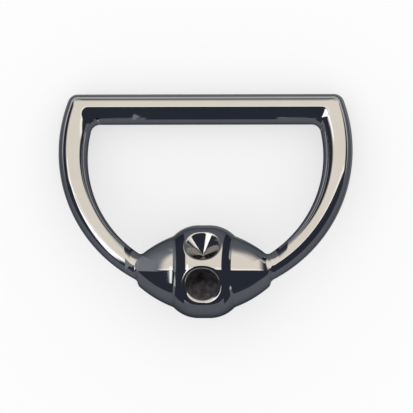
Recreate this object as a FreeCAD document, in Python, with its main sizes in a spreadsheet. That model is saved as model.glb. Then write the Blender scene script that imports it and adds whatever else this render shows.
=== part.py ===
import FreeCAD, Part
import Sketcher
import math
import os

# A cast and plated D-ring for a 38 mm strap. A straight bar and a round bow close the D, and the bow runs
# into a turned hub with a crowned band and two cone dimples. The body's own origin is the hub's centre,
# with X along the hub and the bar, Y from the hub to the bar and Z out of the front of the ring.
# All lengths are millimetres and all angles are degrees.

SIZES = [
    ("bow_outer_radius", 25.5, "outer edge of the bow"),
    ("bow_side_width", 5.1, "bow seen from the front, at its sides"),
    ("bow_hub_width", 4.05, "bow seen from the front, where it runs into the hub"),
    ("bar_rise", 9.9, "centre of the bow to the outer edge of the straight bar"),
    ("bar_width", 5.25, "straight bar seen from the front"),
    ("bar_thickness", 6.3, "bar and bow from front to back"),
    ("outer_corner_radius", 1.75, "outer corners between bar and bow"),
    ("inner_corner_radius", 1.6, "corners of the strap opening"),
    ("ridge_corner_radius", 1.2, "same corners along the ridge of the bar"),
    ("hub_seat", 4.3, "lowest edge of the bow to the axis of the hub"),
    ("waist_span", 11.4, "between the two waists beside the band"),
    ("waist_drop", 2.15, "crown of the band to the waists, across the hub"),
    ("shoulder_length", 5.75, "each waist to the end of the hub, along the hub"),
    ("shoulder_drop", 3.97, "each waist to the flat end of the hub, across the hub"),
    ("shoulder_bulge_radius", 17.5, "bulge of the two tapered shoulders along the hub"),
    ("hub_end_rounding", 1.1, "rounding of the hub's ends"),
    ("waist_fillet", 2.2, "rounding inside the waists"),
    ("band_flat_span", 2.6, "straight middle of the band along the hub"),
    ("band_radius", 8.0, "band at its middle"),
    ("band_edge_rounding", 4.1, "rounding of the band's edges, which gives it its crown"),
    ("dimple_rim_radius", 3.6, "dimples at the band's crown"),
    ("dimple_depth", 3.6, "dimples from the band's crown to the tip"),
    ("dimple_spread", 55.0, "angle between the two dimples, seen along the hub"),
]

# The centre of the bow to the axis of the hub.
HUB_DROP = "(dims.bow_outer_radius - dims.hub_seat)"

# Each slice of the bar's oval section is given by its angle round the oval, from back to front.
CROWN_ANGLE = 84
SLICE_ANGLES = [-84, -70, -56, -42, -28, -14, 0, 14, 28, 42, 56, 70, 84]

# Two places along the hub closer than this are the same place.
SAME_PLACE = 0.01

NODE = "d_ring"


def make_sheet(doc):
    sheet = doc.addObject("Spreadsheet::Sheet", "dims")
    for row, (alias, value, note) in enumerate(SIZES, start=1):
        sheet.set("A%d" % row, note)
        sheet.set("B%d" % row, str(value))
        sheet.setAlias("B%d" % row, alias)
    doc.recompute()
    return sheet


def plane_of(body, role):
    return next(feature for feature in body.Origin.OriginFeatures if feature.Role == role)


def new_sketch(body, name, role):
    sketch = body.newObject("Sketcher::SketchObject", name)
    sketch.AttachmentSupport = [(plane_of(body, role), "")]
    sketch.MapMode = "FlatFace"
    return sketch


def bind(sketch, constraint, formula):
    index = sketch.addConstraint(constraint)
    sketch.setExpression("Constraints[%d]" % index, formula)


def vector(x, y):
    return FreeCAD.Vector(x, y, 0)


def arc_round(x, y, radius, start, end):
    circle = Part.Circle(vector(x, y), FreeCAD.Vector(0, 0, 1), radius)
    return Part.ArcOfCircle(circle, start, end)


def value_of(doc, formula):
    return float(doc.getObject("dims").evalExpression(formula))


def add_rounded_d(doc, sketch, radius, centre, top, corner):
    """Draw one closed D: a line on top, two corner arcs and two halves of the bow, sized by formulas."""
    r, c, t, k = [value_of(doc, formula) for formula in (radius, centre, top, corner)]
    corner_x = math.sqrt((r - k) ** 2 - (t - k - c) ** 2)
    lean = math.atan2(t - k - c, corner_x)
    quarter = math.pi / 2
    line = sketch.addGeometry(Part.LineSegment(vector(-corner_x, t), vector(corner_x, t)))
    right = sketch.addGeometry(arc_round(corner_x, t - k, k, lean, quarter))
    left = sketch.addGeometry(arc_round(-corner_x, t - k, k, quarter, math.pi - lean))
    left_bow = sketch.addGeometry(arc_round(0, c, r, math.pi - lean, 3 * quarter))
    right_bow = sketch.addGeometry(arc_round(0, c, r, -quarter, lean))
    sketch.addConstraint(Sketcher.Constraint("Tangent", line, 2, right, 2))
    sketch.addConstraint(Sketcher.Constraint("Tangent", right, 1, right_bow, 2))
    sketch.addConstraint(Sketcher.Constraint("Tangent", left_bow, 1, left, 2))
    sketch.addConstraint(Sketcher.Constraint("Tangent", left, 1, line, 1))
    sketch.addConstraint(Sketcher.Constraint("Coincident", left_bow, 2, right_bow, 1))
    sketch.addConstraint(Sketcher.Constraint("Coincident", left_bow, 3, right_bow, 3))
    sketch.addConstraint(Sketcher.Constraint("PointOnObject", right_bow, 1, -2))
    sketch.addConstraint(Sketcher.Constraint("PointOnObject", right_bow, 3, -2))
    sketch.addConstraint(Sketcher.Constraint("Horizontal", line))
    sketch.addConstraint(Sketcher.Constraint("Equal", right, left))
    bind(sketch, Sketcher.Constraint("DistanceY", -1, 1, line, 1, t), top)
    bind(sketch, Sketcher.Constraint("DistanceY", -1, 1, right_bow, 3, c), centre)
    bind(sketch, Sketcher.Constraint("Radius", right_bow, r), radius)
    bind(sketch, Sketcher.Constraint("Radius", right, k), corner)


def make_ring_slice(doc, body, number, angle):
    """One level of the ring. Both edges close in on the ridge of the bar as the level leaves the middle."""
    sketch = new_sketch(body, "ring_slice_%d" % number, "XY_Plane")
    shrink = "(1 - cos(%d deg))" % angle
    height = "dims.bar_thickness / 2 * sin(%d deg) / sin(%d deg)" % (angle, CROWN_ANGLE)
    sketch.setExpression("AttachmentOffset.Base.z", height)
    taper = "(dims.bow_side_width - dims.bow_hub_width)"
    ridge_corner = "dims.ridge_corner_radius * %s" % shrink
    add_rounded_d(
        doc,
        sketch,
        radius="dims.bow_outer_radius - dims.bow_side_width / 2 * %s" % shrink,
        centre="%s - %s / 2 * %s" % (HUB_DROP, taper, shrink),
        top="%s + dims.bar_rise - dims.bar_width / 2 * %s" % (HUB_DROP, shrink),
        corner="dims.outer_corner_radius * (1 - %s) + %s" % (shrink, ridge_corner),
    )
    add_rounded_d(
        doc,
        sketch,
        radius="dims.bow_outer_radius - dims.bow_side_width * (1 - %s / 2)" % shrink,
        centre="%s - %s * (1 - %s / 2)" % (HUB_DROP, taper, shrink),
        top="%s + dims.bar_rise - dims.bar_width * (1 - %s / 2)" % (HUB_DROP, shrink),
        corner="dims.inner_corner_radius * (1 - %s) + %s" % (shrink, ridge_corner),
    )
    return sketch


def bearing(start, end):
    return math.atan2(end.y - start.y, end.x - start.x)


def make_hub(doc, body):
    """Turn the hub from its outline. From the right: end, shoulder, flank, band, and the same mirrored."""
    size = {alias: value_of(doc, "dims." + alias) for alias, value, note in SIZES}
    waist = vector(size["waist_span"] / 2, size["band_radius"] - size["waist_drop"])
    half = waist.x + size["shoulder_length"]
    end_round = size["hub_end_rounding"]
    bulge = size["shoulder_bulge_radius"]
    edge_round = size["band_edge_rounding"]
    foot = vector(half, 0)
    end = vector(half, waist.y - size["shoulder_drop"])
    end_centre = vector(half - end_round, end.y)
    crown = vector(size["band_flat_span"] / 2, size["band_radius"])
    crown_centre = vector(crown.x, crown.y - edge_round)

    # The shoulder's arc starts at the waist and runs smoothly into the rounding of the hub's end.
    gap = (end_centre - waist).Length
    along = (bulge ** 2 - (bulge - end_round) ** 2 + gap ** 2) / (2 * gap)
    swing = bearing(waist, end_centre) - math.acos(along / bulge)
    bulge_centre = waist + vector(math.cos(swing), math.sin(swing)) * bulge
    end_lean = bearing(bulge_centre, end_centre)
    waist_lean = bearing(bulge_centre, waist)

    # The flank leaves the waist in a straight line and touches the rounding of the band's edge.
    reach = (waist - crown_centre).Length
    edge_lean = bearing(crown_centre, waist) + math.acos(edge_round / reach)
    edge = crown_centre + vector(math.cos(edge_lean), math.sin(edge_lean)) * edge_round
    quarter = math.pi / 2

    def other(point):
        return vector(-point.x, point.y)

    def mirrored(centre, radius, start, stop):
        return arc_round(-centre.x, centre.y, radius, math.pi - stop, math.pi - start)

    sketch = new_sketch(body, "hub_profile", "XY_Plane")
    axis = sketch.addGeometry(Part.LineSegment(other(foot), foot))
    right_end = sketch.addGeometry(Part.LineSegment(foot, end))
    right_round = sketch.addGeometry(arc_round(end_centre.x, end_centre.y, end_round, 0, end_lean))
    shoulder_arc = arc_round(bulge_centre.x, bulge_centre.y, bulge, end_lean, waist_lean)
    right_shoulder = sketch.addGeometry(shoulder_arc)
    right_flank = sketch.addGeometry(Part.LineSegment(waist, edge))
    right_edge = sketch.addGeometry(arc_round(crown.x, crown_centre.y, edge_round, edge_lean, quarter))
    band = sketch.addGeometry(Part.LineSegment(crown, other(crown)))
    left_edge = sketch.addGeometry(mirrored(crown_centre, edge_round, edge_lean, quarter))
    left_flank = sketch.addGeometry(Part.LineSegment(other(edge), other(waist)))
    left_shoulder = sketch.addGeometry(mirrored(bulge_centre, bulge, end_lean, waist_lean))
    left_round = sketch.addGeometry(mirrored(end_centre, end_round, 0, end_lean))
    left_end = sketch.addGeometry(Part.LineSegment(other(end), other(foot)))

    chain = [
        ("Coincident", axis, right_end),
        ("Tangent", right_end, right_round),
        ("Tangent", right_round, right_shoulder),
        ("Coincident", right_shoulder, right_flank),
        ("Tangent", right_flank, right_edge),
        ("Tangent", right_edge, band),
        ("Tangent", band, left_edge),
        ("Tangent", left_edge, left_flank),
        ("Coincident", left_flank, left_shoulder),
        ("Tangent", left_shoulder, left_round),
        ("Tangent", left_round, left_end),
        ("Coincident", left_end, axis),
    ]
    for kind, first, second in chain:
        sketch.addConstraint(Sketcher.Constraint(kind, first, 2, second, 1))
    sketch.addConstraint(Sketcher.Constraint("PointOnObject", axis, 2, -1))
    sketch.addConstraint(Sketcher.Constraint("Vertical", right_end))
    sketch.addConstraint(Sketcher.Constraint("Symmetric", axis, 1, axis, 2, -2))
    sketch.addConstraint(Sketcher.Constraint("Symmetric", band, 1, band, 2, -2))
    sketch.addConstraint(Sketcher.Constraint("Symmetric", left_end, 1, right_end, 2, -2))
    sketch.addConstraint(Sketcher.Constraint("Symmetric", left_flank, 2, right_flank, 1, -2))
    sketch.addConstraint(Sketcher.Constraint("Equal", left_round, right_round))
    sketch.addConstraint(Sketcher.Constraint("Equal", left_shoulder, right_shoulder))
    sketch.addConstraint(Sketcher.Constraint("Equal", left_edge, right_edge))
    waist_height = "dims.band_radius - dims.waist_drop"
    end_height = waist_height + " - dims.shoulder_drop"
    hub_length = "dims.waist_span + 2 * dims.shoulder_length"
    bind(sketch, Sketcher.Constraint("DistanceX", axis, 1, axis, 2, 2 * half), hub_length)
    bind(sketch, Sketcher.Constraint("DistanceY", -1, 1, right_end, 2, end.y), end_height)
    bind(sketch, Sketcher.Constraint("Radius", right_round, end_round), "dims.hub_end_rounding")
    bind(sketch, Sketcher.Constraint("Radius", right_shoulder, bulge), "dims.shoulder_bulge_radius")
    waist_gap = Sketcher.Constraint("DistanceX", left_flank, 2, right_flank, 1, 2 * waist.x)
    bind(sketch, waist_gap, "dims.waist_span")
    bind(sketch, Sketcher.Constraint("DistanceY", -1, 1, right_flank, 1, waist.y), waist_height)
    bind(sketch, Sketcher.Constraint("Radius", right_edge, edge_round), "dims.band_edge_rounding")
    bind(sketch, Sketcher.Constraint("DistanceX", band, 2, band, 1, 2 * crown.x), "dims.band_flat_span")
    bind(sketch, Sketcher.Constraint("DistanceY", -1, 1, band, 1, crown.y), "dims.band_radius")
    doc.recompute()

    hub = body.newObject("PartDesign::Revolution", "hub")
    hub.Profile = sketch
    hub.ReferenceAxis = (sketch, ["H_Axis"])
    hub.Angle = 360
    doc.recompute()

    waists = body.newObject("PartDesign::Fillet", "waists")
    waists.Base = (hub, circles_at(hub, waist.x))
    waists.setExpression("Radius", "dims.waist_fillet")
    doc.recompute()


def circles_at(feature, offset):
    """Names of the full circles round the hub at one distance either side of its middle."""
    names = []
    for number, edge in enumerate(feature.Shape.Edges, start=1):
        box = edge.BoundBox
        if abs(abs(box.Center.x) - offset) < SAME_PLACE and box.XLength < SAME_PLACE:
            names.append("Edge%d" % number)
    return names


def make_ring(doc, body):
    slices = [make_ring_slice(doc, body, n, angle) for n, angle in enumerate(SLICE_ANGLES, start=1)]
    doc.recompute()
    ring = body.newObject("PartDesign::AdditiveLoft", "ring")
    ring.Profile = slices[0]
    ring.Sections = slices[1:]
    ring.Ruled = False
    ring.Closed = False
    doc.recompute()


def make_dimples(doc, body):
    size = {alias: value_of(doc, "dims." + alias) for alias, value, note in SIZES}
    rim = size["dimple_rim_radius"]
    crest = size["band_radius"]
    tip = crest - size["dimple_depth"]
    sky = crest + rim
    sketch = new_sketch(body, "dimple_profile", "YZ_Plane")
    sketch.setExpression("AttachmentOffset.Rotation.Angle", "dims.dimple_spread / 2")
    corners = [vector(0, tip), vector(rim, crest), vector(rim, sky), vector(0, sky)]
    sides = []
    for start, end in zip(corners, corners[1:] + corners[:1]):
        sides.append(sketch.addGeometry(Part.LineSegment(start, end), False))
    for side, following in zip(sides, sides[1:] + sides[:1]):
        sketch.addConstraint(Sketcher.Constraint("Coincident", side, 2, following, 1))
    cone, wall, lid, spine = sides
    sketch.addConstraint(Sketcher.Constraint("PointOnObject", spine, 2, -2))
    sketch.addConstraint(Sketcher.Constraint("Vertical", spine))
    sketch.addConstraint(Sketcher.Constraint("Vertical", wall))
    sketch.addConstraint(Sketcher.Constraint("Horizontal", lid))
    bind(sketch, Sketcher.Constraint("DistanceX", -1, 1, cone, 2, rim), "dims.dimple_rim_radius")
    bind(sketch, Sketcher.Constraint("DistanceY", -1, 1, cone, 2, crest), "dims.band_radius")
    tip_formula = "dims.band_radius - dims.dimple_depth"
    sky_formula = "dims.band_radius + dims.dimple_rim_radius"
    bind(sketch, Sketcher.Constraint("DistanceY", -1, 1, cone, 1, tip), tip_formula)
    bind(sketch, Sketcher.Constraint("DistanceY", -1, 1, lid, 1, sky), sky_formula)
    doc.recompute()

    dimple = body.newObject("PartDesign::Groove", "dimple")
    dimple.Profile = sketch
    dimple.ReferenceAxis = (sketch, ["V_Axis"])
    dimple.Angle = 360
    doc.recompute()

    pair = body.newObject("PartDesign::Mirrored", "dimple_pair")
    pair.Originals = [dimple]
    pair.MirrorPlane = (plane_of(body, "XZ_Plane"), [""])
    body.Tip = pair
    doc.recompute()


def lay_down(doc, body):
    """Lay the ring on its back, on the band and the straight bar, with its middle at X = Y = 0."""
    rest = doc.addObject("Spreadsheet::Sheet", "rest")
    across = "dims.bar_width / 2"
    deep = "dims.bar_thickness / 2 / sin(%d deg)" % CROWN_ANGLE
    formulas = [
        ("reach", "=%s + dims.bar_rise - dims.bar_width / 2" % HUB_DROP),
        ("first_tilt", "=asin((dims.band_radius - dims.bar_thickness / 2) / reach)"),
        ("bar_below", "=sqrt((%s * sin(first_tilt)) ^ 2 + (%s * cos(first_tilt)) ^ 2)" % (across, deep)),
        ("tilt", "=asin((dims.band_radius - bar_below) / reach)"),
        ("bar_beyond", "=sqrt((%s * cos(tilt)) ^ 2 + (%s * sin(tilt)) ^ 2)" % (across, deep)),
        ("shift", "=(dims.band_radius - reach * cos(tilt) - bar_beyond) / 2"),
    ]
    for row, (alias, formula) in enumerate(formulas, start=1):
        rest.set("A%d" % row, formula)
        rest.setAlias("A%d" % row, alias)
        doc.recompute()
    lean = value_of(doc, "rest.tilt")
    body.Placement = FreeCAD.Placement(FreeCAD.Vector(), FreeCAD.Rotation(FreeCAD.Vector(1, 0, 0), -lean))
    body.setExpression("Placement.Rotation.Angle", "-1 * rest.tilt")
    body.setExpression("Placement.Base.y", "rest.shift")
    body.setExpression("Placement.Base.z", "dims.band_radius")
    doc.recompute()


def main():
    doc = FreeCAD.newDocument("strap_d_ring")
    make_sheet(doc)
    body = doc.addObject("PartDesign::Body", NODE)
    body.Label = NODE
    make_hub(doc, body)
    make_ring(doc, body)
    make_dimples(doc, body)
    lay_down(doc, body)

    for thing in doc.Objects:
        if "Invalid" in thing.State or "Error" in thing.State:
            raise RuntimeError("%s did not build: %s" % (thing.Name, thing.State))
    if body.Shape.isNull() or not body.Shape.isValid():
        raise RuntimeError("the ring has no valid shape")
    os.makedirs("parts", exist_ok=True)
    body.Shape.exportStep("parts/%s.step" % NODE)


main()
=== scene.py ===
import math
import bpy
import bmesh
import numpy as np
from mathutils import Matrix, Vector


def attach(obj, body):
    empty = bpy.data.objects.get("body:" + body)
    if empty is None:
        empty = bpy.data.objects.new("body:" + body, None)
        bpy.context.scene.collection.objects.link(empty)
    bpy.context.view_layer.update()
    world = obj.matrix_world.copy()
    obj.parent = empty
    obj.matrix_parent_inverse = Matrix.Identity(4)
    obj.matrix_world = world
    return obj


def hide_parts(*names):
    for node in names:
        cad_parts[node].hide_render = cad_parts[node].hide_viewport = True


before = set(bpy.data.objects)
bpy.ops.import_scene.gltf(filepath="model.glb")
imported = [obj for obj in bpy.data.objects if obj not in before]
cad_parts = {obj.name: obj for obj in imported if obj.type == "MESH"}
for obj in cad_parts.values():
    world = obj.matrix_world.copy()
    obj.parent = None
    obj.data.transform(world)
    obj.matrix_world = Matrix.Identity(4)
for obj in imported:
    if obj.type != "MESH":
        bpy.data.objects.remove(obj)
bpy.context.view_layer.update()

# A cast and plated D-ring that lies on its back: a straight bar on top, a round bow and a turned hub with
# two cone dimples. Lengths are metres, in the ring's own frame: X along the hub, Y from hub to bar, Z front.
MM = 0.001
MERGE_DISTANCE = 0.001 * MM

# The bar and bow have one oval section, which is as deep as the bar's thickness at the crown angle. Towards
# the hub the bow gets narrower and loses a share of its depth. Its crest is moved outward by a share of its
# width. The ridge corner is the corner halfway between the outer and the inner edge.
BOW_RADIUS = 25.5 * MM
BOW_SIDE_WIDTH = 5.1 * MM
BOW_HUB_WIDTH = 4.05 * MM
BOW_TAPER = BOW_SIDE_WIDTH - BOW_HUB_WIDTH
BAR_RISE = 9.9 * MM
BAR_WIDTH = 5.25 * MM
BAR_THICKNESS = 6.3 * MM
CROWN_ANGLE = math.radians(84.0)
HALF_DEPTH = BAR_THICKNESS / 2 / math.sin(CROWN_ANGLE)
OUTER_CORNER = 1.75 * MM
INNER_CORNER = 1.6 * MM
RIDGE_CORNER = 1.45 * MM
CREST_SHIFT = 0.035
DEPTH_TAPER = 0.33
BAR_STEPS = 70
CORNER_STEPS = 18
BOW_STEPS = 420
SECTION_STEPS = 72

# The hub is turned about X. Its outline has a flat end, a bulged shoulder, a waist, a straight flank and the
# rounded edge of the band. On the front the waists are drawn a little closer together.
HUB_SEAT = 4.3 * MM
HUB_DROP = BOW_RADIUS - HUB_SEAT
HUB_END_X = 11.45 * MM
HUB_END_FLAT = 1.88 * MM
HUB_END_ROUNDING = 1.1 * MM
SHOULDER_BULGE = 19.2 * MM
WAIST_X = 5.35 * MM
WAIST_RADIUS = 6.11 * MM
WAIST = Vector((WAIST_X, WAIST_RADIUS, 0))
WAIST_ROUNDING = 1.0 * MM
WAIST_HALVINGS = 60
BAND_FLAT_X = 0.93 * MM
BAND_RADIUS = 8.0 * MM
BAND_EDGE_ROUNDING = 6.06 * MM
FRONT_NARROWING = 0.45 * MM
NARROWING_END = 9.3 * MM
END_STEPS = 14
SHOULDER_STEPS = 26
WAIST_STEPS = 10
FLANK_STEPS = 5
EDGE_STEPS = 28
BAND_STEPS = 24
FRONT_STEPS = 256
BACK_STEPS = 72

# The two dimples. The reach says how far from its axis, in rim radii, a dimple may move the band's surface.
DIMPLE_SPREAD = math.radians(55.0)
DIMPLE_REACH = 1.5
UPPER_RIM = 3.55 * MM
UPPER_DEPTH = 3.4 * MM
UPPER_LIP = 0.25 * MM
LOWER_RIM = 3.95 * MM
LOWER_DEPTH = 3.6 * MM
LOWER_LIP = 0.45 * MM

# The rounded joint of bow and hub. Points are moved onto it in a few turns, along the slope of the distance,
# and so are points that lie buried by up to a share of the blend.
JOINT_BLEND = 0.6 * MM
BURIED_SHARE = 0.3
JOINT_TURNS = 4
SLOPE_STEP = 0.002 * MM
LEAST_STEEPNESS = 0.25
LEAST_SLOPE = 1e-9


def resting_place():
    """The turn and shift that lay the ring on its band and its straight bar, with its middle at X = Y = 0."""
    reach = HUB_DROP + BAR_RISE - BAR_WIDTH / 2
    across = BAR_WIDTH / 2
    first_tilt = math.asin((BAND_RADIUS - BAR_THICKNESS / 2) / reach)
    bar_below = math.hypot(across * math.sin(first_tilt), HALF_DEPTH * math.cos(first_tilt))
    tilt = math.asin((BAND_RADIUS - bar_below) / reach)
    bar_beyond = math.hypot(across * math.cos(tilt), HALF_DEPTH * math.sin(tilt))
    shift = (BAND_RADIUS - reach * math.cos(tilt) - bar_beyond) / 2
    return Matrix.Translation((0, shift, BAND_RADIUS)) @ Matrix.Rotation(-tilt, 4, "X")


PLACE = resting_place()


def heading(angle):
    """Vector of length 1 in the XY plane, at an angle from X."""
    return Vector((math.cos(angle), math.sin(angle), 0))


def angle_of(way):
    """Angle from X of a vector in the XY plane."""
    return math.atan2(way.y, way.x)


def arc(centre, radius, start, stop, steps):
    """Points of an arc in the XY plane, both ends included."""
    turn = (stop - start) / steps
    return [
        Vector((
            centre[0] + radius * math.cos(start + turn * n),
            centre[1] + radius * math.sin(start + turn * n),
            0,
        ))
        for n in range(steps + 1)
    ]


def line(start, stop, steps):
    """Points of a straight run, without its two ends."""
    return [start.lerp(stop, n / steps) for n in range(1, steps)]


def smooth_step(share):
    """A share from 0 to 1, with a soft start and a soft end."""
    return 3 * share ** 2 - 2 * share ** 3


def of_kind(items, kind):
    """Those of a bmesh operator's results that are of one kind."""
    return [item for item in items if isinstance(item, kind)]


def add_object(bm, name):
    """Turn a finished bmesh into an object of the scene, at the origin."""
    mesh = bpy.data.meshes.new(name)
    bm.to_mesh(mesh)
    bm.free()
    made = bpy.data.objects.new(name, mesh)
    bpy.context.scene.collection.objects.link(made)
    return made


def finish_piece(bm, name):
    """Lay a piece of the ring down, shade it smooth and attach it to the root body."""
    bmesh.ops.recalc_face_normals(bm, faces=bm.faces)
    bmesh.ops.transform(bm, matrix=PLACE, verts=bm.verts)
    piece = add_object(bm, name)
    for polygon in piece.data.polygons:
        polygon.use_smooth = True
    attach(piece, "root")
    return piece


def d_loop(radius, centre, top, corner):
    """Points of a D: a bow about a centre on the Y axis, two round corners and a straight top."""
    corner_x = math.sqrt((radius - corner) ** 2 - (top - corner - centre) ** 2)
    lean = math.atan2(top - corner - centre, corner_x)
    quarter = math.pi / 2
    right = arc((corner_x, top - corner), corner, quarter, lean, CORNER_STEPS)
    bow = arc((0, centre), radius, lean, -math.pi - lean, BOW_STEPS)
    left = arc((-corner_x, top - corner), corner, math.pi - lean, quarter, CORNER_STEPS)
    return right[:-1] + bow + left[1:] + line(left[-1], right[0], BAR_STEPS)


def bow_depth(x, y):
    """Share of the full depth that the bow keeps at a place, less as it nears the hub."""
    down = y - HUB_DROP + BOW_TAPER / 2
    return 1 - DEPTH_TAPER * np.minimum(0.0, down / np.hypot(x, down)) ** 2


def ring_loop(angle):
    """One loop along the bar and bow. The angle runs round the section: 0 outer edge, 90 degrees front."""
    side = math.cos(angle)
    height = HALF_DEPTH * math.sin(angle)
    inward = (1 - side) / 2 - CREST_SHIFT * max(0.0, math.sin(angle)) ** 2
    edge_corner = OUTER_CORNER if side > 0 else INNER_CORNER
    points = d_loop(
        BOW_RADIUS - BOW_SIDE_WIDTH * inward,
        HUB_DROP - BOW_TAPER * inward,
        HUB_DROP + BAR_RISE - BAR_WIDTH * inward,
        edge_corner * abs(side) + RIDGE_CORNER * (1 - abs(side)),
    )
    return [Vector((point.x, point.y, height * bow_depth(point.x, point.y))) for point in points]


def make_ring():
    """The bar and bow: a D-shaped loop that is carried once round the oval section."""
    bm = bmesh.new()
    loops = [ring_loop(math.tau * n / SECTION_STEPS) for n in range(SECTION_STEPS)]
    row = bmesh.ops.create_circle(bm, segments=len(loops[0]), radius=BOW_RADIUS)["verts"]
    edges = bm.edges[:]
    for vert, point in zip(row, loops[0]):
        vert.co = point
    for points in loops[1:] + loops[:1]:
        grown = bmesh.ops.extrude_edge_only(bm, edges=edges)["geom"]
        edges = of_kind(grown, bmesh.types.BMEdge)
        fresh = set(of_kind(grown, bmesh.types.BMVert))
        row = [next(edge.other_vert(vert) for edge in vert.link_edges if edge.other_vert(vert) in fresh)
               for vert in row]
        for vert, point in zip(row, points):
            vert.co = point
    bmesh.ops.remove_doubles(bm, verts=bm.verts, dist=MERGE_DISTANCE)
    blend_joint(bm)
    return finish_piece(bm, "bar_and_bow")


def shoulder_arc():
    """Centres of the end's rounding and of the shoulder's bulge, and the lean at which they meet."""
    end_centre = Vector((HUB_END_X - HUB_END_ROUNDING, HUB_END_FLAT, 0))
    to_end = end_centre - WAIST
    gap = to_end.length
    along = (SHOULDER_BULGE ** 2 - (SHOULDER_BULGE - HUB_END_ROUNDING) ** 2 + gap ** 2) / (2 * gap)
    swing = angle_of(to_end) - math.acos(along / SHOULDER_BULGE)
    bulge_centre = WAIST + heading(swing) * SHOULDER_BULGE
    return end_centre, bulge_centre, angle_of(end_centre - bulge_centre)


def waist_rounding(bulge_centre, edge):
    """Centre of the rounding that touches the bulged shoulder and the flank, and its place on the flank."""
    flank = (edge - WAIST).normalized()
    outward = Vector((flank.y, -flank.x, 0))
    low = 0.0
    high = (edge - WAIST).length
    for _ in range(WAIST_HALVINGS):
        run = (low + high) / 2
        centre = WAIST + flank * run + outward * WAIST_ROUNDING
        if (centre - bulge_centre).length > SHOULDER_BULGE + WAIST_ROUNDING:
            high = run
        else:
            low = run
    return centre, WAIST + flank * run


def hub_outline():
    """Half outline of the hub, from one end to the other, with the waists rounded in."""
    end_centre, bulge_centre, end_lean = shoulder_arc()
    crown_centre = Vector((BAND_FLAT_X, BAND_RADIUS - BAND_EDGE_ROUNDING, 0))
    reach = WAIST - crown_centre
    edge_lean = angle_of(reach) + math.acos(BAND_EDGE_ROUNDING / reach.length)
    edge = crown_centre + heading(edge_lean) * BAND_EDGE_ROUNDING
    waist_centre, touch = waist_rounding(bulge_centre, edge)
    shoulder_lean = angle_of(waist_centre - bulge_centre)
    inner_start = angle_of(bulge_centre - waist_centre)
    inner_stop = angle_of(touch - waist_centre)

    half = [Vector((HUB_END_X, 0, 0)), Vector((HUB_END_X, HUB_END_FLAT / 2, 0))]
    half += arc(end_centre, HUB_END_ROUNDING, 0, end_lean, END_STEPS)
    half += arc(bulge_centre, SHOULDER_BULGE, end_lean, shoulder_lean, SHOULDER_STEPS)[1:]
    half += arc(waist_centre, WAIST_ROUNDING, inner_start, inner_stop, WAIST_STEPS)[1:]
    half += line(touch, edge, FLANK_STEPS)
    half += arc(crown_centre, BAND_EDGE_ROUNDING, edge_lean, math.pi / 2, EDGE_STEPS)
    other = [Vector((-point.x, point.y, 0)) for point in reversed(half)]
    return half + line(half[-1], other[0], BAND_STEPS) + other


def hub_distance(points):
    """How far points lie outside the hub's shoulders and ends."""
    end_centre, bulge_centre, end_lean = shoulder_arc()
    x = np.abs(points[:, 0])
    r = np.hypot(points[:, 1], points[:, 2])
    from_end = np.hypot(x - end_centre.x, r - end_centre.y)
    lean = np.arctan2(r - end_centre.y, x - end_centre.x)
    on_shoulder = np.hypot(x - bulge_centre.x, r - bulge_centre.y) - SHOULDER_BULGE
    on_end = np.where(lean < 0, x - HUB_END_X, from_end - HUB_END_ROUNDING)
    return np.where(lean > end_lean, on_shoulder, on_end)


def bow_distance(points):
    """How far points lie outside the bow's oval section."""
    down = points[:, 1] - HUB_DROP + BOW_TAPER / 2
    reach = np.hypot(points[:, 0], down)
    across = reach - BOW_RADIUS + BOW_SIDE_WIDTH / 2
    half_width = (BOW_SIDE_WIDTH + BOW_TAPER * down / reach) / 2
    half_depth = HALF_DEPTH * bow_depth(points[:, 0], points[:, 1])
    scale = np.hypot(across / half_width, points[:, 2] / half_depth)
    slope = np.hypot(across / half_width ** 2, points[:, 2] / half_depth ** 2)
    return scale * (scale - 1) / np.maximum(slope, LEAST_SLOPE)


def joint_distance(points):
    """How far points lie outside the bow and hub together, with a rounded joint between them."""
    hub_gap = hub_distance(points)
    bow_gap = bow_distance(points)
    near = np.maximum(JOINT_BLEND - np.abs(hub_gap - bow_gap), 0) / JOINT_BLEND
    return np.minimum(hub_gap, bow_gap) - near ** 2 * JOINT_BLEND / 4


def blend_joint(bm):
    """Move the points beside the joint out to its rounding."""
    verts = bm.verts[:]
    points = np.array([vert.co for vert in verts])
    hub_gap = hub_distance(points)
    bow_gap = bow_distance(points)
    close = np.maximum(hub_gap, bow_gap) < JOINT_BLEND
    on_top = np.minimum(hub_gap, bow_gap) > -BURIED_SHARE * JOINT_BLEND
    beside = close & on_top & (points[:, 1] < HUB_DROP / 2)
    moved = points[beside]
    for _ in range(JOINT_TURNS):
        value = joint_distance(moved)
        slope = np.zeros_like(moved)
        for axis in range(3):
            ahead = moved.copy()
            ahead[:, axis] += SLOPE_STEP
            slope[:, axis] = (joint_distance(ahead) - value) / SLOPE_STEP
        steep = np.maximum((slope ** 2).sum(axis=1), LEAST_STEEPNESS)
        moved -= slope * (value / steep)[:, None]
    for index, point in zip(np.nonzero(beside)[0], moved):
        verts[index].co = point


def narrow_band(bm):
    """Draw the waists a little closer to the middle on the front of the hub."""
    for vert in bm.verts:
        off = abs(vert.co.x)
        round_hub = math.hypot(vert.co.y, vert.co.z)
        if round_hub == 0:
            continue
        front = max(0.0, vert.co.z / round_hub) ** 2
        rise = min(1.0, off / WAIST_X)
        fall = max(0.0, min(1.0, (NARROWING_END - off) / (NARROWING_END - WAIST_X)))
        pull = FRONT_NARROWING * front * smooth_step(rise) * smooth_step(fall)
        vert.co.x -= math.copysign(pull, vert.co.x)


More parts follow.
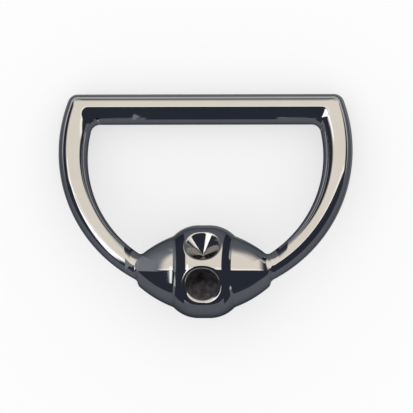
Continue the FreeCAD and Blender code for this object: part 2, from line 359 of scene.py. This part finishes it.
def sink_dimples(bm):
    """Press two cones with rounded lips into the front of the band."""
    upper = (DIMPLE_SPREAD / 2, UPPER_RIM, UPPER_DEPTH, UPPER_LIP)
    lower = (-DIMPLE_SPREAD / 2, LOWER_RIM, LOWER_DEPTH, LOWER_LIP)
    for lean, rim, depth, lip in (upper, lower):
        slope = depth / rim
        axis = Vector((0, math.sin(lean), math.cos(lean)))
        for vert in bm.verts:
            height = vert.co.dot(axis)
            off = (vert.co - axis * height).length
            if height < 0 or off > rim * DIMPLE_REACH:
                continue
            cone = BAND_RADIUS - depth + slope * off
            drop = height - cone
            # A smooth step between the surface and the cone rounds the lip.
            blend = max(0.0, min(1.0, 0.5 + drop / (2 * lip)))
            target = height * (1 - blend) + cone * blend - lip * blend * (1 - blend)
            vert.co += axis * (target - height)


def spin_half(bm, start, steps):
    """Turn the hub's outline through half a turn, from the given angle round the hub."""
    turn = Matrix.Rotation(start, 3, "X")
    verts = [bm.verts.new(turn @ point) for point in hub_outline()]
    edges = [bm.edges.new(pair) for pair in zip(verts, verts[1:])]
    bmesh.ops.spin(
        bm,
        geom=verts + edges,
        cent=(0, 0, 0),
        axis=(1, 0, 0),
        angle=math.pi,
        steps=steps,
        use_merge=False,
    )


def make_hub():
    """The turned hub, in finer steps on its dimpled front than on its back."""
    bm = bmesh.new()
    spin_half(bm, 0.0, FRONT_STEPS)
    spin_half(bm, math.pi, BACK_STEPS)
    bmesh.ops.remove_doubles(bm, verts=bm.verts, dist=MERGE_DISTANCE)
    narrow_band(bm)
    sink_dimples(bm)
    blend_joint(bm)
    return finish_piece(bm, "hub")


def new_material(name):
    """A material with a node tree."""
    material = bpy.data.materials.new(name)
    material.use_nodes = True
    return material


def node(tree, kind, place, **settings):
    """A node of a kind, at its place in the node editor."""
    made = tree.nodes.new(kind)
    made.location = place
    for name, value in settings.items():
        setattr(made, name, value)
    return made


def feed(tree, source, socket):
    """Fill a socket from another node's output, or with a plain number or colour."""
    if isinstance(source, bpy.types.NodeSocket):
        tree.links.new(source, socket)
    else:
        socket.default_value = source


def maths(tree, place, operation, first, second=0.0):
    """Result of an operation on two numbers."""
    made = node(tree, "ShaderNodeMath", place, operation=operation)
    feed(tree, first, made.inputs[0])
    feed(tree, second, made.inputs[1])
    return made.outputs["Value"]


def mix(tree, place, kind, share, first, second):
    """Go over from the first number or colour to the second while the share goes from 0 to 1."""
    made = node(tree, "ShaderNodeMix", place, data_type=kind)
    feed(tree, share, made.inputs["Factor"])
    feed(tree, first, made.inputs["A"])
    feed(tree, second, made.inputs["B"])
    return made.outputs["Result"]


def mix_shaders(tree, place, share, first, second):
    """Go over from the first shader to the second while the share goes from 0 to 1."""
    made = node(tree, "ShaderNodeMixShader", place)
    feed(tree, share, made.inputs["Fac"])
    feed(tree, first, made.inputs[1])
    feed(tree, second, made.inputs[2])
    return made.outputs["Shader"]


def map_range(tree, place, source, span, result, interpolation="SMOOTHSTEP"):
    """Carry a number over from one range to another, each given by its two ends."""
    made = node(tree, "ShaderNodeMapRange", place, interpolation_type=interpolation)
    for name, value in zip(("From Min", "From Max", "To Min", "To Max"), (*span, *result)):
        made.inputs[name].default_value = value
    feed(tree, source, made.inputs["Value"])
    return made.outputs["Result"]


def noise(tree, place, source, scale, detail):
    """Cloudy noise over the given coordinates."""
    made = node(tree, "ShaderNodeTexNoise", place)
    made.inputs["Scale"].default_value = scale
    made.inputs["Detail"].default_value = detail
    feed(tree, source, made.inputs["Vector"])
    return made.outputs["Fac"]


def colour_ramp(tree, place, source, stops):
    """Colours between two stops, each a position and a colour."""
    made = node(tree, "ShaderNodeValToRGB", place)
    for element, (position, colour) in zip(made.color_ramp.elements, stops):
        element.position = position
        element.color = colour
    feed(tree, source, made.inputs["Fac"])
    return made.outputs["Color"]


# The plating is polished dark nickel. Haze changes its tone and gloss a little, marks are fine lines along X,
# and the patch is the inside of the lower dimple, which is darker, rougher and mottled. The patch has its
# middle at a height above the hub's axis and its soft edge at two distances from that middle.
EDGE_TINT = (0.24, 0.25, 0.27, 1)
HAZE_SCALE = 160.0
HAZE_DETAIL = 4.0
HAZE_TONES = ((0.3, (0.345, 0.347, 0.348, 1)), (0.75, (0.375, 0.374, 0.37, 1)))
GLOSS_HAZE = (0.35, 0.8)
GLOSS_ROUGHNESS = (0.035, 0.085)
MOTTLE_SCALE = 900.0
MOTTLE_DETAIL = 3.0
MOTTLE_TONES = ((0.38, (0.050, 0.050, 0.060, 1)), (0.64, (0.120, 0.113, 0.118, 1)))
PATCH_HEIGHT = BAND_RADIUS - LOWER_DEPTH / 3
PATCH_EDGE = (2.75 * MM, 3.0 * MM)
PATCH_ROUGHNESS = 0.75
MARK_STRETCH = (0.25, 1.0, 1.0)
MARK_SCALE = 2600.0
MARK_DETAIL = 3.0
MARK_STRENGTH = 0.02
MARK_DEPTH = 0.02 * MM


def dull_patch(tree, place):
    """1 inside the lower dimple and 0 elsewhere."""
    lean = -DIMPLE_SPREAD / 2
    middle = PLACE @ (Vector((0, math.sin(lean), math.cos(lean))) * PATCH_HEIGHT)
    away = node(tree, "ShaderNodeVectorMath", (-800, 600), operation="DISTANCE")
    feed(tree, place, away.inputs[0])
    feed(tree, middle, away.inputs[1])
    return map_range(tree, (-500, 600), away.outputs["Value"], PATCH_EDGE, (1.0, 0.0))


def polishing_marks(tree, place):
    """The surface's direction with very fine lines in it."""
    stretch = node(tree, "ShaderNodeMapping", (-800, -250))
    stretch.inputs["Scale"].default_value = MARK_STRETCH
    feed(tree, place, stretch.inputs["Vector"])
    bump = node(tree, "ShaderNodeBump", (-250, -250))
    bump.inputs["Strength"].default_value = MARK_STRENGTH
    bump.inputs["Distance"].default_value = MARK_DEPTH
    marks = noise(tree, (-500, -250), stretch.outputs["Vector"], MARK_SCALE, MARK_DETAIL)
    feed(tree, marks, bump.inputs["Height"])
    return bump.outputs["Normal"]


def plated_metal():
    """Bright plating over a polished casting: a clean mirror with faint haze and fine polishing marks."""
    material = new_material("plated_metal")
    tree = material.node_tree
    place = node(tree, "ShaderNodeTexCoord", (-1100, 0)).outputs["Object"]
    haze = noise(tree, (-800, 200), place, HAZE_SCALE, HAZE_DETAIL)
    tone = colour_ramp(tree, (-500, 300), haze, HAZE_TONES)
    gloss = map_range(tree, (-500, 50), haze, GLOSS_HAZE, GLOSS_ROUGHNESS, "LINEAR")
    # Inside the lower dimple the metal is darker, rougher and mottled.
    inside = dull_patch(tree, place)
    dimple_mottle_noise = noise(tree, (-800, 900), place, MOTTLE_SCALE, MOTTLE_DETAIL)
    mottle = colour_ramp(tree, (-500, 900), dimple_mottle_noise, MOTTLE_TONES)
    shader = tree.nodes["Principled BSDF"]
    shader.inputs["Metallic"].default_value = 1.0
    shader.inputs["Specular Tint"].default_value = EDGE_TINT
    feed(tree, mix(tree, (-250, 300), "RGBA", inside, tone, mottle), shader.inputs["Base Color"])
    feed(tree, mix(tree, (-250, 50), "FLOAT", inside, gloss, PATCH_ROUGHNESS), shader.inputs["Roughness"])
    feed(tree, polishing_marks(tree, place), shader.inputs["Normal"])
    return material


# The floor is matt and takes the ring's shadow. To the camera and in the metal, a share of it is plain white.
FLOOR_HALF_SIZE = 2.0
FLOOR_COLOUR = (0.97, 0.97, 0.97, 1)
FLOOR_ROUGHNESS = 0.9
WHITE_SHARE = 0.55


def floor_material():
    """Matt and pale, with a share of plain white where the floor is looked at."""
    material = new_material("pale_floor")
    tree = material.node_tree
    shader = tree.nodes["Principled BSDF"]
    shader.inputs["Base Color"].default_value = FLOOR_COLOUR
    shader.inputs["Roughness"].default_value = FLOOR_ROUGHNESS
    shader.inputs["Specular IOR Level"].default_value = 0.0
    rays = node(tree, "ShaderNodeLightPath", (-900, -200)).outputs
    seen = maths(tree, (-700, -200), "ADD", rays["Is Camera Ray"], rays["Is Glossy Ray"])
    shown = maths(tree, (-500, -200), "ADD", seen, rays["Is Transmission Ray"])
    share = maths(tree, (-300, -200), "MULTIPLY", shown, WHITE_SHARE)
    white = node(tree, "ShaderNodeEmission", (0, -200))
    surface = mix_shaders(tree, (200, 0), share, shader.outputs["BSDF"], white.outputs["Emission"])
    feed(tree, surface, tree.nodes["Material Output"].inputs["Surface"])
    return material


def make_floor():
    """A wide floor under the ring."""
    bm = bmesh.new()
    bmesh.ops.create_grid(bm, x_segments=1, y_segments=1, size=FLOOR_HALF_SIZE)
    floor = add_object(bm, "floor")
    floor.data.materials.append(floor_material())


# The camera looks almost straight down on the ring.
CAMERA_YAW = math.radians(3.0)
CAMERA_PITCH = math.radians(-0.35)
TO_CAMERA = Vector((
    math.sin(CAMERA_YAW) * math.cos(CAMERA_PITCH),
    math.sin(CAMERA_PITCH),
    math.cos(CAMERA_YAW) * math.cos(CAMERA_PITCH),
))
CAMERA_DISTANCE = 0.518
CAMERA_SENSOR = 36.0
CAMERA_CLIP = 0.01
FIELD_WIDTH = 0.07128
AIM = Vector((0.00029, -0.00013, 0.006))

# The studio round the ring is seen only in the metal. Its dome shows a warm board with a bright lower edge on
# dark cloth, and on the left a white tube and a white lamp with a slanted end. Places on the dome are given
# by the slope of a mirror that shows them to the camera, across in X and along in Y. Each span fades in from
# its first slope to its second and out from its third to its fourth.
DARK_CLOTH = (0.052, 0.060, 0.085, 1)
WARM_BOARD = (1.85, 1.70, 1.50, 1)
BRIGHT_EDGE = (2.5, 2.4, 2.25, 1)
WHITE_TUBE = (2.9, 2.9, 2.9, 1)
HORIZON = 0.045
BOARD_ALONG = (HORIZON - 0.008, HORIZON + 0.008, 0.44, 0.70)
BOARD_ACROSS = (-0.47, -0.36, 0.57, 0.63)
EDGE_ALONG = (HORIZON - 0.004, HORIZON + 0.004, HORIZON + 0.02, HORIZON + 0.05)
TUBE_ALONG = (-0.30, -0.27, 0.13, 0.16)
TUBE_ACROSS = (-0.367, -0.3595, -0.30, -0.29)
LAMP_ALONG = (-0.30, -0.27, 0.02, 0.035)
LAMP_ACROSS = (-0.367, -0.3595, -0.08, -0.05)
LAMP_SLANT = (0.0, 0.07)
DOME_RADIUS = 1.5
DOME_FOOT = 0.02
DOME_SEGMENTS = 64
DOME_RINGS = 32


def mirror_slope(tree):
    """Slope of the mirror that shows a place on the dome to the camera."""
    place = node(tree, "ShaderNodeTexCoord", (-1800, 0))
    ray = node(tree, "ShaderNodeVectorMath", (-1600, 0), operation="NORMALIZE")
    feed(tree, place.outputs["Object"], ray.inputs[0])
    half = node(tree, "ShaderNodeVectorMath", (-1400, 0), operation="ADD")
    feed(tree, ray.outputs["Vector"], half.inputs[0])
    feed(tree, TO_CAMERA, half.inputs[1])
    slope = node(tree, "ShaderNodeVectorMath", (-1200, 0), operation="NORMALIZE")
    feed(tree, half.outputs["Vector"], slope.inputs[0])
    parts = node(tree, "ShaderNodeSeparateXYZ", (-1000, 0))
    feed(tree, slope.outputs["Vector"], parts.inputs["Vector"])
    return parts.outputs["X"], parts.outputs["Y"]


def studio_material():
    """The dark cloth with the board, the tube and the lamp laid over it."""
    material = new_material("studio_boards")
    tree = material.node_tree
    tree.nodes.clear()
    across, along = mirror_slope(tree)

    def window(source, span, y):
        """1 within a span and 0 outside it, with soft ends."""
        rise = map_range(tree, (-750, y + 100), source, span[:2], (0.0, 1.0))
        fall = map_range(tree, (-750, y - 100), source, span[2:], (1.0, 0.0))
        return maths(tree, (-550, y), "MULTIPLY", rise, fall)

    def patch(below, colour, first, second, y):
        """Lay a colour over what is below it, where both windows are open."""
        mask = maths(tree, (-350, y), "MULTIPLY", first, second)
        return mix(tree, (-150, y), "RGBA", mask, below, colour)

    sides = window(across, BOARD_ACROSS, 400)
    colour = patch(DARK_CLOTH, WARM_BOARD, window(along, BOARD_ALONG, 800), sides, 600)
    colour = patch(colour, BRIGHT_EDGE, window(along, EDGE_ALONG, 0), sides, 200)
    tube = window(along, TUBE_ALONG, -400)
    colour = patch(colour, WHITE_TUBE, tube, window(across, TUBE_ACROSS, -800), -600)
    slant = maths(tree, (-950, -1800), "SUBTRACT", along, across)
    slanted_end = map_range(tree, (-750, -1800), slant, LAMP_SLANT, (0.0, 1.0))
    lamp = maths(tree, (-450, -1400), "MULTIPLY", window(along, LAMP_ALONG, -1200), slanted_end)
    colour = patch(colour, WHITE_TUBE, lamp, window(across, LAMP_ACROSS, -1600), -1000)
    glow = node(tree, "ShaderNodeEmission", (100, 0))
    feed(tree, colour, glow.inputs["Color"])
    output = node(tree, "ShaderNodeOutputMaterial", (300, 0))
    feed(tree, glow.outputs["Emission"], output.inputs["Surface"])
    return material


def cut_off(bm, height, normal):
    """Take away all that lies beyond a plane, which crosses the Z axis at the height."""
    bmesh.ops.bisect_plane(
        bm,
        geom=bm.verts[:] + bm.edges[:] + bm.faces[:],
        plane_co=(0, 0, height),
        plane_no=normal,
        clear_outer=True,
    )


def show_in_metal_only(thing):
    """Hide a thing from the camera and keep its light and shadow off the floor."""
    thing.visible_camera = False
    thing.visible_diffuse = False
    thing.visible_shadow = False
    thing.visible_transmission = False


def make_studio():
    """The dome, which is open below."""
    bm = bmesh.new()
    bmesh.ops.create_uvsphere(bm, u_segments=DOME_SEGMENTS, v_segments=DOME_RINGS, radius=DOME_RADIUS)
    cut_off(bm, DOME_FOOT, (0, 0, -1))
    studio = add_object(bm, "studio")
    studio.data.materials.append(studio_material())
    show_in_metal_only(studio)


# Small screens stand near the ring and are seen only in the metal: a wall round the outside of the D and one
# inside it, both falling towards the bar, a card bent round the hub, a card beside its left shoulder and a
# dark flag over each waist. A screen may fade out over a span of heights, which is lower at its sides.
GREY_CARD = (0.24, 0.255, 0.30, 1)
SIDE_CARD = (0.42, 0.45, 0.50, 1)
NO_FADE = (1.0, 1.1)
WALL_HEIGHT = 20.0 * MM
OUTER_WALL_GAP = 5.0 * MM
OUTER_WALL_TOP = 8.75 * MM
OUTER_WALL_FALL = 0.248
INNER_WALL_GAP = 1.5 * MM
INNER_WALL_TOP = 7.2 * MM
INNER_WALL_FALL = 0.17
HUB_CARD_MIDDLE = Vector((0, -8.0 * MM, 0))
HUB_CARD_RADIUS = 12.0 * MM
HUB_CARD_START = math.radians(176.0)
HUB_CARD_TURN = math.radians(172.0)
HUB_CARD_HEIGHT = 28.0 * MM
HUB_CARD_FADE = (20.0 * MM, 27.0 * MM)
HUB_CARD_STEPS = 48
SHOULDER_CARD_MIDDLE = Vector((-13.5, -4.05, 10.0)) * MM
SHOULDER_CARD_HEIGHT = 20.0 * MM
SHOULDER_CARD_WIDTH = 14.1 * MM
SHOULDER_CARD_FADE = (28.5 * MM, 32.5 * MM)
FLAG_X = 5.4 * MM
LEFT_FLAG_FOOT = 6.55 * MM
RIGHT_FLAG_FOOT = 6.65 * MM
LEFT_FLAG_TOP = 9.75 * MM
RIGHT_FLAG_TOP = 8.85 * MM
FLAG_FOOT_ENDS = (math.radians(-58.0), math.radians(52.0))
FLAG_TOP_ENDS = (math.radians(-78.0), math.radians(72.0))
FLAG_STEPS = 48


def screen_material(name, colour, back_colour, fade):
    """A glowing screen with its own colour on the back, or with a clear back if that is None."""
    material = new_material(name)
    tree = material.node_tree
    tree.nodes.clear()
    place = node(tree, "ShaderNodeTexCoord", (-1100, -200))
    parts = node(tree, "ShaderNodeSeparateXYZ", (-900, -200))
    feed(tree, place.outputs["Object"], parts.inputs["Vector"])
    off = maths(tree, (-850, -400), "ABSOLUTE", parts.outputs["X"])
    rise = maths(tree, (-650, -400), "ADD", parts.outputs["Z"], off)
    unseen = map_range(tree, (-450, -200), rise, fade, (0.0, 1.0))
    behind = node(tree, "ShaderNodeNewGeometry", (-500, 200)).outputs["Backfacing"]
    if back_colour is None:
        tone = colour
        unseen = maths(tree, (0, -300), "MAXIMUM", unseen, behind)
    else:
        tone = mix(tree, (-250, 0), "RGBA", behind, colour, back_colour)
    glow = node(tree, "ShaderNodeEmission", (0, 0))
    feed(tree, tone, glow.inputs["Color"])
    clear = node(tree, "ShaderNodeBsdfTransparent", (0, -150))
    surface = mix_shaders(tree, (250, 0), unseen, glow.outputs["Emission"], clear.outputs["BSDF"])
    output = node(tree, "ShaderNodeOutputMaterial", (500, 0))
    feed(tree, surface, output.inputs["Surface"])
    return material


def add_screen(bm, name, colour, back_colour=None, fade=NO_FADE):
    """Stand a screen near the ring."""
    screen = add_object(bm, name)
    screen.data.materials.append(screen_material(name, colour, back_colour, fade))
    show_in_metal_only(screen)


def standing_wall(points):
    """A wall that stands on the floor along the points of a loop."""
    bm = bmesh.new()
    verts = bmesh.ops.create_circle(bm, segments=len(points), radius=BOW_RADIUS)["verts"]
    for vert, point in zip(verts, points):
        laid = PLACE @ point
        vert.co = (laid.x, laid.y, 0)
    grown = bmesh.ops.extrude_edge_only(bm, edges=bm.edges[:])["geom"]
    bmesh.ops.translate(bm, vec=(0, 0, WALL_HEIGHT), verts=of_kind(grown, bmesh.types.BMVert))
    return bm


def add_outer_wall():
    """A grey wall round the ring, dark on its outside."""
    bm = standing_wall(d_loop(
        BOW_RADIUS + OUTER_WALL_GAP,
        HUB_DROP,
        HUB_DROP + BAR_RISE + OUTER_WALL_GAP,
        OUTER_CORNER + OUTER_WALL_GAP,
    ))
    cut_off(bm, OUTER_WALL_TOP, (0, OUTER_WALL_FALL, 1))
    bmesh.ops.recalc_face_normals(bm, faces=bm.faces)
    bmesh.ops.reverse_faces(bm, faces=bm.faces)
    add_screen(bm, "outer_wall", GREY_CARD, DARK_CLOTH)


def add_inner_wall():
    """A wall inside the ring, grey on both sides."""
    bm = standing_wall(d_loop(
        BOW_RADIUS - BOW_SIDE_WIDTH - INNER_WALL_GAP,
        HUB_DROP - BOW_TAPER,
        HUB_DROP + BAR_RISE - BAR_WIDTH - INNER_WALL_GAP,
        INNER_CORNER,
    ))
    cut_off(bm, INNER_WALL_TOP, (0, INNER_WALL_FALL, 1))
    add_screen(bm, "inner_wall", GREY_CARD, GREY_CARD)


def add_hub_card():
    """A card that is bent round the hub on the side of the bar, grey inside and dark outside."""
    bm = bmesh.new()
    start = HUB_CARD_MIDDLE + heading(HUB_CARD_START) * HUB_CARD_RADIUS
    ends = [bm.verts.new(start), bm.verts.new(start + Vector((0, 0, HUB_CARD_HEIGHT)))]
    bmesh.ops.spin(
        bm,
        geom=ends + [bm.edges.new(ends)],
        cent=HUB_CARD_MIDDLE,
        axis=(0, 0, -1),
        angle=HUB_CARD_TURN,
        steps=HUB_CARD_STEPS,
        use_merge=False,
    )
    bm.normal_update()
    first = bm.faces[:][0]
    if first.normal.dot(HUB_CARD_MIDDLE - first.calc_center_median()) < 0:
        bmesh.ops.reverse_faces(bm, faces=bm.faces)
    add_screen(bm, "hub_card", GREY_CARD, DARK_CLOTH, HUB_CARD_FADE)


def add_shoulder_card():
    """A grey card beside the left shoulder of the hub."""
    size = Matrix.Diagonal((SHOULDER_CARD_HEIGHT / 2, SHOULDER_CARD_WIDTH / 2, 1, 1))
    place = Matrix.Translation(SHOULDER_CARD_MIDDLE) @ Matrix.Rotation(math.pi / 2, 4, "Y") @ size
    bm = bmesh.new()
    bmesh.ops.create_grid(bm, x_segments=1, y_segments=1, size=1, matrix=place)
    add_screen(bm, "shoulder_card", SIDE_CARD, fade=SHOULDER_CARD_FADE)


def add_waist_flag(name, x, foot, top):
    """A small dark flag over a waist of the hub, which darkens that side of the band and no more."""
    bm = bmesh.new()
    for radius, (start, stop) in ((foot, FLAG_FOOT_ENDS), (top, FLAG_TOP_ENDS)):
        first = bm.verts.new(Matrix.Rotation(start, 3, "X") @ Vector((x, 0, radius)))
        bmesh.ops.spin(
            bm,
            geom=[first],
            cent=(0, 0, 0),
            axis=(1, 0, 0),
            angle=stop - start,
            steps=FLAG_STEPS,
            use_merge=False,
        )
    bmesh.ops.bridge_loops(bm, edges=bm.edges[:])
    bm.normal_update()
    if bm.faces[:][0].normal.x * x > 0:
        bmesh.ops.reverse_faces(bm, faces=bm.faces)
    bmesh.ops.transform(bm, matrix=PLACE, verts=bm.verts)
    add_screen(bm, name, DARK_CLOTH)


def make_screens():
    """All walls, cards and flags near the ring."""
    add_outer_wall()
    add_inner_wall()
    add_hub_card()
    add_shoulder_card()
    add_waist_flag("left_flag", -FLAG_X, LEFT_FLAG_FOOT, LEFT_FLAG_TOP)
    add_waist_flag("right_flag", FLAG_X, RIGHT_FLAG_FOOT, RIGHT_FLAG_TOP)


def make_world():
    """Even white light from all sides."""
    world = bpy.data.worlds.new("soft_light")
    bpy.context.scene.world = world
    world.use_nodes = True
    background = world.node_tree.nodes["Background"]
    background.inputs["Color"].default_value = (1, 1, 1, 1)
    background.inputs["Strength"].default_value = 1.0


def make_camera():
    """A camera above the ring, turned so that the bar is on top."""
    data = bpy.data.cameras.new("camera")
    data.sensor_width = CAMERA_SENSOR
    data.lens = data.sensor_width * CAMERA_DISTANCE / FIELD_WIDTH
    data.clip_start = CAMERA_CLIP
    camera = bpy.data.objects.new("camera", data)
    bpy.context.scene.collection.objects.link(camera)
    right = Vector((0, 1, 0)).cross(TO_CAMERA).normalized()
    up = TO_CAMERA.cross(right)
    turn = Matrix((right, up, TO_CAMERA)).transposed().to_4x4()
    camera.matrix_world = Matrix.Translation(AIM + TO_CAMERA * CAMERA_DISTANCE) @ turn
    bpy.context.scene.camera = camera


ring = make_ring()
hub = make_hub()
metal = plated_metal()
for piece in (ring, hub):
    piece.data.materials.append(metal)
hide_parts("d_ring")
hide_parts("d_ring")
make_floor()
make_studio()
make_screens()
make_world()
make_camera()
bpy.context.scene.view_settings.view_transform = "Standard"
